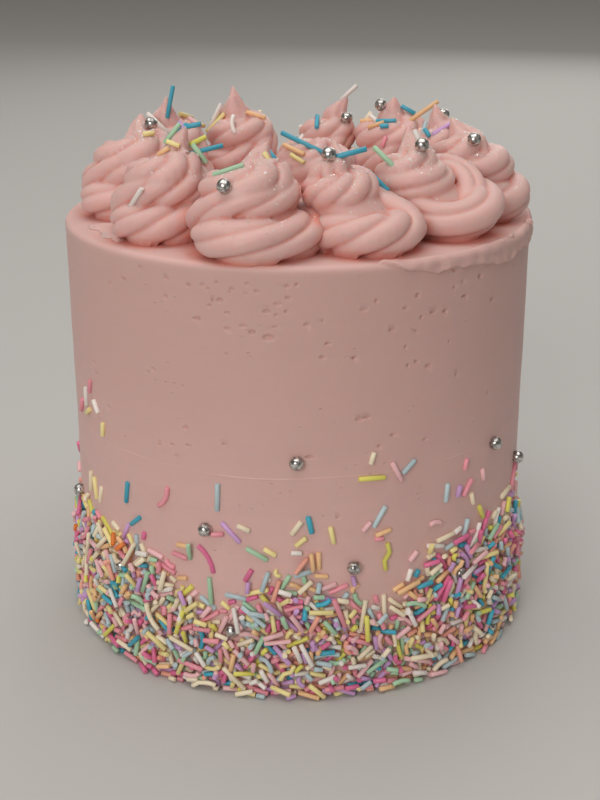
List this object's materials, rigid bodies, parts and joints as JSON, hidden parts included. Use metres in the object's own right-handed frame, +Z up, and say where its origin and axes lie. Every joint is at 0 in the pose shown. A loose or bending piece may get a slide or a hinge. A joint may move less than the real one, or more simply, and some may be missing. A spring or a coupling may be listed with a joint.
{
  "type": "sprinkle cake",
  "caption": "Tall round cake in smooth pink buttercream, with piped star swirls on top and a band of pastel sprinkles round its foot.",
  "frame": {"origin": "middle of the flat base, where the cake stands", "axes": "+Z up through the middle of the cake, -Y towards the front, +X to the right as seen from the front"},
  "size_m": [0.1709, 0.1708, 0.1859],
  "materials": {
    "pink_buttercream": "satin",
    "piped_buttercream": "satin",
    "pastel_sprinkles": "satin",
    "silver_balls": "polished"
  },
  "bodies": {
    "root": {"cake_body": "pink_buttercream", "sprinkle_band": "pastel_sprinkles", "swirl_01": "piped_buttercream", "swirl_02": "piped_buttercream", "swirl_03": "piped_buttercream", "swirl_04": "piped_buttercream", "swirl_05": "piped_buttercream", "swirl_06": "piped_buttercream", "swirl_07": "piped_buttercream", "swirl_08": "piped_buttercream", "swirl_09": "piped_buttercream", "swirl_10": "piped_buttercream", "swirl_11": "piped_buttercream", "swirl_12": "piped_buttercream"}
  },
  "joints": []
}
